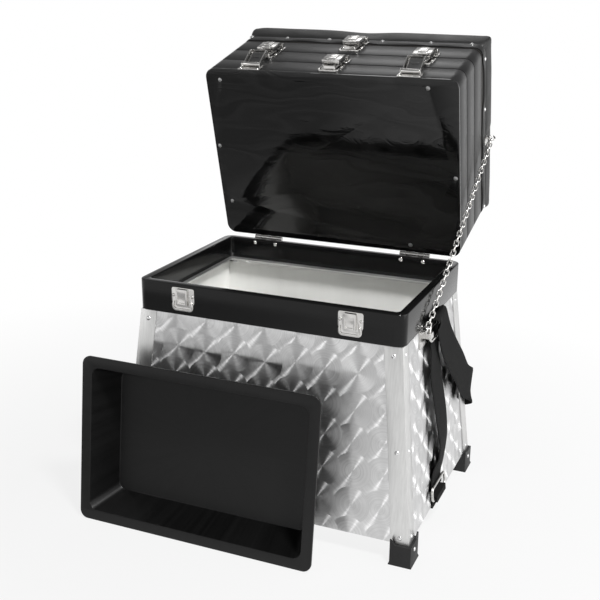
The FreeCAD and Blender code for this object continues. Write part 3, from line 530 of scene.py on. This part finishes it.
def webbing(name):
    """Black woven webbing: ribs across, fine warp threads along, from the strap's own UV in metres."""
    n = Surface(name)
    across, along, _ = n.split(n.place("UV"))
    ribs = n.math("SINE", n.math("MULTIPLY", along, math.tau / rib_pitch))
    side = n.math("SINE", n.math("MULTIPLY", across, math.tau / warp_pitch))
    weave = n.math("MULTIPLY", n.math("ADD", ribs, n.math("MULTIPLY", side, 0.7)), 0.5)
    fuzz = n.noise(n.place(), 900.0, 2.0)
    tone = n.math("ADD", n.span(weave, -1.0, 1.0, *web_tones), n.shades(fuzz, *web_fuzz))
    n.set(Base_Color=n.grey(tone), Roughness=0.8, Specular_IOR_Level=0.12, Normal=n.bump(weave, 0.25 * mm))
    return n.material


def tray_material(name, centre):
    """Satin black moulding with flow lines that run out from the middle of its floor."""
    n = Surface(name)
    x, _, z = n.split(n.vector("SUBTRACT", n.place(), tuple(centre)))
    angle = n.math("ARCTAN2", z, x)
    far = n.vector("LENGTH", n.join(x, z))
    flow = n.noise(n.join(n.math("MULTIPLY", angle, 16.0), n.math("MULTIPLY", far, 3.0)), 1.0, 4.0, 0.7)
    mist = n.noise(n.place(), 8.0, 3.0)
    shade = n.math("ADD", n.span(flow, 0.35, 0.7, *tray_tones), n.shades(mist, 0.0, 0.001))
    n.set(Base_Color=n.grey(shade), Roughness=n.shades(flow, *tray_rough), Specular_IOR_Level=0.3,
          Normal=n.bump(flow, 0.06 * mm))
    return n.material


def plywood(name):
    """Wood darkened as painted shade, so that where it shows under the vinyl's hem it reads as a dark recess; the
    plies show as lines on its edges.
    """
    n = Surface(name)
    plies = n.math("SINE", n.math("MULTIPLY", n.split(n.place())["Z"], math.tau / ply_pitch))
    grain = n.noise(n.scaled((8, 90, 90)), 1.0, 3.0)
    colour = n.mix(n.shades(grain), wood_dark, wood_light)
    n.set(Base_Color=n.mix(n.span(plies, -1.0, 1.0, 0.0, 0.3), colour, wood_ply), Roughness=0.7,
          Normal=n.bump(grain, 0.1 * mm))
    return n.material


def mesh_object(name, vertices, faces, smooth_angle=40.0):
    """A new object in the scene, shaded smooth but for its hard edges."""
    mesh = bpy.data.meshes.new(name)
    mesh.from_pydata([tuple(v) for v in vertices], [], [tuple(f) for f in faces])
    mesh.update()
    piece = bpy.data.objects.new(name, mesh)
    scene.collection.objects.link(piece)
    smooth(piece, smooth_angle)
    return piece


def smooth(piece, angle=40.0):
    piece.data.shade_smooth()
    piece.data.set_sharp_from_angle(angle=math.radians(angle))


def baked(piece):
    """Applies the piece's modifiers to its mesh."""
    bpy.context.view_layer.update()
    evaluated = piece.evaluated_get(bpy.context.evaluated_depsgraph_get())
    mesh = bpy.data.meshes.new_from_object(evaluated)
    piece.modifiers.clear()
    old = piece.data
    piece.data = mesh
    bpy.data.meshes.remove(old)


def add_modifier(piece, kind, **values):
    modifier = piece.modifiers.new(kind.lower(), kind)
    for name, value in values.items():
        setattr(modifier, name, value)
    return modifier


def merged_bmesh(mesh):
    """The mesh with its split corners joined and its flat faces made whole."""
    bm = bmesh.new()
    bm.from_mesh(mesh)
    bmesh.ops.remove_doubles(bm, verts=bm.verts, dist=merge_distance)
    bmesh.ops.dissolve_limit(bm, angle_limit=math.radians(flat_angle), verts=bm.verts, edges=bm.edges)
    return bm


def shape_of(bm):
    """The points and faces of a bmesh, which is then freed."""
    vertices = [v.co.copy() for v in bm.verts]
    faces = [[v.index for v in f.verts] for f in bm.faces]
    bm.free()
    return vertices, faces


def finished(node, material, width, segments=2):
    """A CAD node's shape with its hard edges rounded, in place of the node."""
    piece = mesh_object(node + "_finish", *shape_of(merged_bmesh(nodes[node].data)))
    add_modifier(piece, "BEVEL", width=width, segments=segments, limit_method="ANGLE",
                 angle_limit=math.radians(finish_angle), harden_normals=False, use_clamp_overlap=True)
    baked(piece)
    smooth(piece, finish_angle)
    dressed(piece, node, material)


def dressed(piece, node, material):
    """Material and body of a piece that stands for a CAD node, with the node hidden."""
    give(piece, material)
    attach(piece, nodes[node]["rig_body"])
    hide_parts(node)


def give(piece, material):
    piece.data.materials.clear()
    piece.data.materials.append(material)


def paint(node, material):
    """A CAD node that stays, with a better material."""
    piece = nodes[node]
    if not piece.data.materials:
        piece.data.materials.append(material)
    for slot in piece.material_slots:
        slot.material = material


def plate(name, half_x, downs, outs, taper, bevel):
    """A bevelled plate on a clamp: across, down from the pivot and out from it, narrower on its outer face."""
    vertices = []
    for out, inset in zip(outs, (0, taper)):
        for side in (-1, 1):
            for down, inward in zip(downs, (1, -1)):
                vertices.append((side * (half_x - inset), -out, -(down + inward * inset)))
    faces = [(0, 1, 3, 2), (4, 6, 7, 5), (0, 4, 5, 1), (2, 3, 7, 6), (0, 2, 6, 4), (1, 5, 7, 3)]
    piece = mesh_object(name, vertices, faces)
    add_modifier(piece, "BEVEL", width=bevel, segments=3, limit_method="ANGLE",
                 angle_limit=math.radians(plate_angle))
    baked(piece)
    smooth(piece)
    return piece


def hasp_details(node, flipped, metal, shade_metal):
    """The raised ridge and finger lip on a clamp's cap, and in its hollow the spring and catch bar, whose dark
    steel is painted shade that makes the hollow read dark.
    """
    pivot = Vector(joints[node + "_pivot"]["pos_m"])
    turn = Matrix.Rotation(-seat_open_angle - (hasp_flip if flipped else 0.0), 4, "X")
    for suffix, half_x, downs, outs, taper, bevel, dark in hasp_forms:
        piece = plate(node + suffix, half_x, downs, outs, taper, bevel)
        piece.data.transform(Matrix.Translation(pivot) @ turn)
        give(piece, shade_metal if dark else metal)
        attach(piece, node)


def safety_chain(material):
    """The chain's links, a smooth-shaded copy of the CAD chain in its place."""
    chain = mesh_object("safety_chain_links", *shape_of(merged_bmesh(nodes["safety_chain"].data)), soft_angle)
    give(chain, material)
    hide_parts("safety_chain")
    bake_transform(chain)


def round_rectangle(half_x, half_y, corner, step):
    """Points with outward directions, anticlockwise from the middle of the +X side."""
    points = []

    def straight(start, end, out):
        count = max(1, round((end - start).length / step))
        for i in range(count):
            points.append((start.lerp(end, i / count), out))

    def arc(centre, start):
        count = max(3, round(corner * math.pi / 2 / step * arc_density))
        for i in range(count):
            turn = start + math.pi / 2 * i / count
            out = Vector((math.cos(turn), math.sin(turn)))
            points.append((centre + out * corner, out))

    a, b, c = half_x, half_y, corner
    straight(Vector((a, 0)), Vector((a, b - c)), Vector((1, 0)))
    arc(Vector((a - c, b - c)), 0)
    straight(Vector((a - c, b)), Vector((c - a, b)), Vector((0, 1)))
    arc(Vector((c - a, b - c)), math.pi / 2)
    straight(Vector((-a, b - c)), Vector((-a, c - b)), Vector((-1, 0)))
    arc(Vector((c - a, c - b)), math.pi)
    straight(Vector((c - a, -b)), Vector((a - c, -b)), Vector((0, -1)))
    arc(Vector((a - c, c - b)), 3 * math.pi / 2)
    straight(Vector((a, c - b)), Vector((a, 0)), Vector((1, 0)))
    return points


def nail_points():
    """The nails' places on the seat's sides, seen from above."""
    points = [Vector((x * mm, -seat_half_y)) for x in nail_front]
    points += [Vector((x * mm, seat_half_y)) for x in nail_rear]
    points += [Vector((side * seat_half_x, y * mm)) for side in (-1, 1) for y in nail_side]
    return points


def stack_height(z):
    """Height of the shut stack's measure z above the ground."""
    return collar_top + z


def ramp(values, start, run):
    """0 up to the start, and 1 from the run's end."""
    return np.clip((values - start) / run, 0.0, 1.0)


def swollen(pad):
    """The pad's points, and how far a short cloth simulation under air pressure lifts them."""
    before = np.array([v.co for v in pad.data.vertices])
    cloth = add_modifier(pad, "CLOTH")
    cloth.settings.use_pressure = True
    cloth.settings.uniform_pressure_force = pad_pressure
    cloth.settings.effector_weights.gravity = 0.0
    cloth.settings.quality = pad_quality
    for number in range(1, pad_frames + 1):
        scene.frame_set(number)
    baked(pad)
    scene.frame_set(1)
    after = np.array([v.co for v in pad.data.vertices])
    return before, (after - before)[:, 2].clip(0.0, None)


def squarer_corners(place, halves, full):
    """Moves the points of the pad's corners out to the squarer outline of the sewn ones."""
    arm = np.abs(place[:, :2]) - halves + seat_corner
    reach = np.maximum(np.linalg.norm(arm, axis=1), tiny)
    share = np.clip(arm / reach[:, None], 0.0, 1.0)
    powers = share[:, 0] ** corner_power + share[:, 1] ** corner_power
    grow = 1 / powers.clip(tiny) ** (1 / corner_power) - 1
    grow *= np.all(arm > 0, axis=1) * full
    place[:, :2] += np.sign(place[:, :2]) * arm * grow[:, None]


def nail_dents(place, low):
    """Draws the vinyl in round each nail."""
    for nail in np.array([tuple(p) for p in nail_points()]):
        flat = np.linalg.norm(place[:, :2] - nail, axis=1)
        height = np.abs(place[:, 2] - low) / nail_reach
        dent = nail_dent * np.exp(-(flat / nail_reach) ** 2 - height ** 2)
        place[:, :2] += np.outer(dent, -nail / np.linalg.norm(nail))


def seat_pad(material):
    """The padded vinyl: a crown from a short cloth simulation, and sides that bulge between crease and edge."""
    bm = merged_bmesh(nodes["seat_cushion"].data)
    bm.transform(opened().inverted())
    low, edge = stack_height(nail_line), stack_height(pad_edge)
    floor = min(v.co.z for v in bm.verts)
    for v in bm.verts:
        if v.co.z < floor + level_distance:
            v.co.z = low + pad_lift
    pad = mesh_object("seat_pad", *shape_of(bm))
    add_modifier(pad, "REMESH", mode="VOXEL", voxel_size=pad_voxel)
    baked(pad)
    before, swell = swollen(pad)
    place = before.copy()
    rise = ramp(before[:, 2], low, edge - low)
    full = np.minimum(rise / bulge_full, 1.0)
    rightward = before[:, 0] / seat_half_x
    # The foam under the vinyl holds the sides, so of the swelling only the crown is kept
    place[:, 2] += pad_cap * (1 - np.exp(-swell / (3 * pad_cap))) * rise ** 2
    # It stands higher, and its front bulges more, toward the left; the seat's latch holds the front's middle
    place[:, 2] += pad_lean * rise ** 2 * (1 - rightward) / 2
    bulge = pad_bulge * np.sin(full * math.pi / 2)
    bulge *= np.where(before[:, 1] > 0, bulge_rear, 1 - bulge_to_left * rightward)
    bulge *= 1 - latch_hold * np.exp(-(before[:, 0] / latch_hold_half) ** 2) * (before[:, 1] < latch_hold_from)
    # The solid's round shoulder is filled out to the tighter one of the sewn edge
    turn = np.clip((before[:, 2] - edge + pad_shoulder) / pad_shoulder, 0.0, shoulder_end)
    tighter = (1 - turn ** shoulder_power) ** (1 / shoulder_power)
    bulge += pad_shoulder * (tighter - np.sqrt(1 - turn ** 2))
    halves = np.array([seat_half_x, seat_half_y])
    beside = ramp(np.abs(before[:, :2]) - halves, corner_start, corner_run)
    corner = beside[:, 0] * beside[:, 1] * np.where(before[:, 0] < 0, corner_calm_left, corner_calm_right)
    for axis, half in enumerate(halves):
        near = ramp(np.abs(before[:, axis]) - half, side_start, side_run)
        near = near * near * (3 - 2 * near) * (1 - corner if axis == 0 else 1)
        place[:, axis] += np.sign(before[:, axis]) * bulge * near
    squarer_corners(place, halves, full)
    nail_dents(place, low)
    for v, co in zip(pad.data.vertices, place):
        v.co = co
    add_modifier(pad, "SUBSURF", levels=1, render_levels=1)
    baked(pad)
    pad.data.transform(opened())
    smooth(pad, pad_angle)
    dressed(pad, "seat_cushion", material)


def gape(place):
    """The lens-shaped gap under the fold on the seat's right side, as a share of its height."""
    if place.x <= gape_side * seat_half_x or not -gape_from < place.y < gape_length - gape_from:
        return 0.0
    return max(0.0, math.sin(math.pi * (place.y + gape_from) / gape_length))


def seat_edge(material):
    """The vinyl's folded edge under the nail line: a thin band with a wavy lower hem."""
    low, high = stack_height(board_low), stack_height(nail_line)
    nails = nail_points()
    ring = round_rectangle(seat_half_x - band_inset, seat_half_y - band_inset, seat_corner - band_inset, band_step)
    rows = band_rows
    vertices, faces = [], []
    for place, out in ring:
        near = min((place - nail).length for nail in nails)
        pinch = math.exp(-(near / pinch_reach) ** 2)
        wave = 0.5 + 0.5 * math.sin(place.x * wave_rates[0] + place.y * wave_rates[1])
        hem = low + hem_least + hem_wave * wave * (1 - pinch) + gape_height * gape(place)
        for inner in (False, True):
            for row in range(rows):
                share = row / (rows - 1)
                puff = band_puff * math.sin(math.pi * share) ** puff_power * (1 - band_pinch * pinch)
                stand = band_inner if inner else band_stand + puff + band_flare * wave * (1 - share)
                flat = place + out * stand
                vertices.append((flat.x, flat.y, hem + (high + band_tuck - hem) * share))
    loop = 2 * rows
    count = len(ring)
    for i in range(count):
        a, b = i * loop, (i + 1) % count * loop
        for row in range(rows - 1):
            faces.append((a + row, b + row, b + row + 1, a + row + 1))
            faces.append((a + rows + row + 1, b + rows + row + 1, b + rows + row, a + rows + row))
        faces.append((a + rows, b + rows, b, a))
        faces.append((a + rows - 1, b + rows - 1, b + loop - 1, a + loop - 1))
    band = mesh_object("seat_vinyl_edge", vertices, faces, soft_angle)
    band.data.transform(opened())
    dressed(band, "seat_cover", material)


def spline_points(route, step):
    """Evenly spaced rows on a smooth curve through the route's rows, and each one's distance along it."""
    curve = []
    count = len(route)
    for i in range(count - 1):
        p0 = route[max(i - 1, 0)]
        p1, p2 = route[i], route[i + 1]
        p3 = route[min(i + 2, count - 1)]
        for k in range(route_steps):
            t = k / route_steps
            point = 0.5 * ((2 * p1) + (p2 - p0) * t + (2 * p0 - 5 * p1 + 4 * p2 - p3) * t * t
                           + (3 * p1 - p0 - 3 * p2 + p3) * t ** 3)
            curve.append(point)
    curve.append(route[-1])
    curve = np.array(curve)
    run = np.concatenate([[0], np.cumsum(np.linalg.norm(np.diff(curve[:, :3], axis=0), axis=1))])
    places = np.linspace(0, run[-1], max(2, round(run[-1] / step)) + 1)
    return np.stack([np.interp(places, run, curve[:, k]) for k in range(curve.shape[1])], 1), places


def webbing_profile():
    """The webbing's cross-section: flat, with a thicker, rounded selvedge on each side."""
    top = []
    for k in range(webbing_across + 1):
        s = k / webbing_across * 2 - 1
        edge = max(0.0, abs(s) - selvedge) / (1 - selvedge)
        round_off = math.sqrt(max(0.0, 1 - edge * edge * selvedge_round))
        top.append((s * webbing_width / 2, webbing_thickness / 2 * round_off * (1 + bead * (abs(s) > bead_from))))
    return top + [(x, -z) for x, z in reversed(top)]


def ribbon(name, route):
    """Webbing swept through (place, direction across) stations, with a UV in metres."""
    rows = np.array([list(place) + list(across) for place, across in route])
    samples, lengths = spline_points(rows, webbing_step)
    profile = webbing_profile()
    vertices, faces, uv_rows = [], [], []
    for i, row in enumerate(samples):
        place, across = Vector(row[:3]), Vector(row[3:]).normalized()
        ahead = Vector(samples[min(i + 1, len(samples) - 1)][:3]) - Vector(samples[max(i - 1, 0)][:3])
        through = ahead.normalized().cross(across).normalized()
        across = through.cross(ahead.normalized()).normalized()
        for x, z in profile:
            vertices.append(place + across * x + through * z)
            uv_rows.append((x, lengths[i]))
    loop = len(profile)
    for i in range(len(samples) - 1):
        for k in range(loop):
            a, b = i * loop + k, i * loop + (k + 1) % loop
            faces.append((a, b, b + loop, a + loop))
    faces.append(tuple(range(loop - 1, -1, -1)))
    faces.append(tuple(range((len(samples) - 1) * loop, len(samples) * loop)))
    piece = mesh_object(name, vertices, faces, strap_angle)
    layer = piece.data.uv_layers.new(name="strap")
    for face in piece.data.polygons:
        for corner in face.loop_indices:
            layer.data[corner].uv = uv_rows[piece.data.loops[corner].vertex_index]
    return piece


def wall_half(z):
    """Half width and half depth over the body's sheets, which stand straight up inside the collar."""
    rise = min(z, collar_low) - wall_low.z
    return wall_high.x - side_slope * rise, rear_wall_high.y - rear_slope * rise


def side_straps(material):
    """The side straps hang from the upper rings and end round the lower ones."""
    route = []
    for y, z, clearance, twist in side_strap_route:
        turn = math.radians(twist)
        place = Vector((wall_half(z * mm)[0] + clearance * mm, y * mm, z * mm))
        route.append((place, Vector((-math.sin(turn), math.cos(turn), 0))))
    for side, name in ((1, "right"), (-1, "left")):
        turned = [(Vector((side * p.x, p.y, p.z)), Vector((side * w.x, w.y, w.z))) for p, w in route]
        dressed(ribbon("side_strap_web_" + name, turned), "side_strap_" + name, material)


def shoulder_strap(material):
    """One long strap from the right ring, round behind the box, to the left ring."""
    half = []
    for (clearance, y, z), across in shoulder_beside:
        half.append((Vector((wall_half(z * mm)[0] + clearance * mm, y * mm, z * mm)), Vector(across)))
    for (share, clearance, z), across in shoulder_behind:
        x, y = wall_half(z * mm)
        half.append((Vector((share * x, y + clearance * mm, z * mm)), Vector(across)))
    mirror = [(Vector((-p.x, p.y, p.z)), Vector((-w.x, w.y, w.z))) for p, w in reversed(half[:-1])]
    dressed(ribbon("shoulder_strap_web", half + mirror), "shoulder_strap", material)


def studio():
    """Camera, floor and light."""
    yaw, pitch, roll = camera_yaw, camera_pitch, camera_roll
    ahead = Vector((math.sin(yaw) * math.cos(pitch), math.cos(yaw) * math.cos(pitch), math.sin(pitch)))
    right = Vector((math.cos(yaw), -math.sin(yaw), 0))
    up = right.cross(ahead)
    right, up = (right * math.cos(roll) + up * math.sin(roll), up * math.cos(roll) - right * math.sin(roll))
    camera = bpy.data.objects.new("camera", bpy.data.cameras.new("camera"))
    camera.data.lens = camera_lens
    camera.data.sensor_width = camera_sensor
    camera.matrix_world = Matrix.Translation(camera_place) @ Matrix((right, up, -ahead)).transposed().to_4x4()
    scene.collection.objects.link(camera)
    scene.camera = camera
    scene.view_settings.view_transform = "Standard"

    turns = [math.tau * i / floor_sides for i in range(floor_sides)]
    vertices = [(floor_radius * math.cos(t), floor_radius * math.sin(t), 0) for t in turns]
    floor = mesh_object("studio_floor", vertices, [tuple(range(floor_sides))])
    give(floor, floor_material())

    for lamp in lamps:
        soft_light(*lamp)
    world()


def soft_light(name, place, aim, size, power):
    """A round area lamp that points at its aim."""
    data = bpy.data.lights.new(name, "AREA")
    data.shape = "DISK"
    data.size = size
    data.energy = power
    lamp = bpy.data.objects.new(name, data)
    lamp.location = place
    lamp.rotation_euler = (Vector(aim) - Vector(place)).to_track_quat("-Z", "Y").to_euler()
    scene.collection.objects.link(lamp)


def floor_material():
    """Pale floor that keeps the object's shadow near it and fades to plain white further out."""
    n = Surface("floor_paint")
    flat = n.vector("MULTIPLY", n.place(), (1, 1, 0))
    n.set(Base_Color=n.mix(n.noise(n.place(), 3.0), floor_dark, floor_light), Roughness=0.9, Specular_IOR_Level=0.1)

    def white(centre, start, end, least):
        return n.span(n.vector("DISTANCE", flat, centre), start, end, least, 1.0)

    rays = n.rays()
    seen = n.math("MULTIPLY", white(*floor_seen), rays["Is Camera Ray"])
    mirrored = n.math("MAXIMUM", rays["Is Glossy Ray"], rays["Is Transmission Ray"])
    mirrored = n.math("MULTIPLY", white(*floor_mirrored), mirrored)
    n.mix_surface(n.math("MAXIMUM", seen, mirrored), n.shader.outputs[0], n.glow("ShaderNodeEmission", 1.0))
    return n.material


def world():
    """White behind the object, and low down where metal mirrors it; otherwise the room's grey light."""
    sky = bpy.data.worlds.new("studio")
    scene.world = sky
    sky.use_nodes = True
    n = Nodes(sky.node_tree, "ShaderNodeOutputWorld")
    rays = n.rays()
    seen = n.math("MAXIMUM", rays["Is Camera Ray"], rays["Is Transmission Ray"])
    low = n.span(n.split(n.place("Generated"))["Z"], *low_sky, 1.0, 0.0)
    n.mix_surface(n.math("MULTIPLY_ADD", low, rays["Is Glossy Ray"], seen),
                  n.glow("ShaderNodeBackground", room_light), n.glow("ShaderNodeBackground", 1.0))


studio()

# Materials
front_swirl = swirl_material("swirl_sheet_front", "x", (0, -1, 0), front_tones)
rear_swirl = swirl_material("swirl_sheet_rear", "x", (0, 1, 0), front_tones)
left_swirl = swirl_material("swirl_sheet_left", "y", (-1, 0, 0), side_lit_tones)
right_swirl = swirl_material("swirl_sheet_right", "y", (1, 0, 0), side_lit_tones)
post_metal = rolled_metal("post_aluminium", tone=0.64, rough=0.36, stretch=(420, 420, 5))
ledge_metal = rolled_metal("ledge_aluminium", tone=0.72, rough=0.45, stretch=(12, 12, 300))
floor_metal = rolled_metal("floor_aluminium", tone=0.80, rough=0.5, stretch=(10, 240, 10))
fastener_metal = plated("fastener_steel", tone=0.78, rough=0.22, tint=neutral)
nickel = plated("latch_nickel", tone=0.66, rough=0.15)
chain_steel = plated("chain_steel", tone=0.70, rough=0.22)
# Dark steel for the spring and catch bar: painted shade in the clamps' hollows
hollow_shade_steel = plated("hollow_shade_steel_dark", tone=0.12, rough=0.4, tint=neutral)
collar_black = black_plastic("collar_gloss_black", tone=0.003, rough=0.12, stretch=(35, 700, 900),
                             streaks=0.04 * mm, gloss=0.26)
level_black = black_plastic("level_satin_black", tone=0.009, rough=0.30, stretch=(30, 500, 500),
                            streaks=0.05 * mm, gloss=0.27)
foot_black = black_plastic("foot_matte_black", tone=0.008, rough=0.5, stretch=(300, 300, 300), streaks=0.08 * mm)
screw_black = plated("screw_blackened", tone=0.34, rough=0.3, tint=neutral)
board_black = grained_board("board_mirror_black")
seat_vinyl = vinyl("seat_vinyl_black")
web_black = webbing("webbing_black")
wood = plywood("seat_plywood_shade_dark")
tray_low, tray_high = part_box("insert_tray")
tray_black = tray_material("insert_tray_black", (tray_low + tray_high) / 2)

# Body
paint("front_panel", front_swirl)
paint("rear_panel", rear_swirl)
paint("left_panel", left_swirl)
paint("right_panel", right_swirl)
paint("floor_pan", floor_metal)
paint("tray_ledge", ledge_metal)
for corner in corners:
    finished("corner_post_" + corner, post_metal, width=0.35 * mm)
for corner in corners:
    finished("foot_" + corner, foot_black, width=0.9 * mm)
finished("collar", collar_black, width=1.2 * mm, segments=3)
for node in ("post_rivets", "foot_screws", "collar_screws", "seat_nails"):
    paint(node, fastener_metal)
paint("base_board_screws", screw_black)

# Stack
for node in ("level_a", "level_b", "level_c"):
    finished(node, level_black, width=0.45 * mm)
finished("base_board", board_black, width=0.8 * mm, segments=3)
paint("seat_riser", level_black)
# The board's dark tone is painted shade for the recess under the vinyl's hem
paint("seat_board", wood)
seat_pad(seat_vinyl)
seat_edge(seat_vinyl)

# Hinges, latches, brackets, rings and chain
for node in ("main_hinge_lower_leaves", "main_hinge_upper_leaves", "main_hinge_pins", "hinge_lower_leaves_a",
             "hinge_lower_leaves_b", "hinge_lower_leaves_c", "hinge_upper_leaves_b", "hinge_upper_leaves_c",
             "hinge_upper_leaves_seat", "seat_chain_eye", "strap_brackets", "strap_rings"):
    paint(node, nickel)
for node in hasps + ("hasp_mounts_a", "hasp_mounts_b", "hasp_mounts_c", "hasp_mounts_seat", "collar_catches",
                     "catches_a", "catches_b", "catches_c"):
    finished(node, nickel, width=0.45 * mm)
for node in hasps:
    hasp_details(node, node.startswith("hasp_a"), nickel, hollow_shade_steel)
safety_chain(chain_steel)

# Webbing
paint("strap_tabs", web_black)
side_straps(web_black)
shoulder_strap(web_black)

# Loose tray
finished("insert_tray", tray_black, width=1.0 * mm, segments=3)
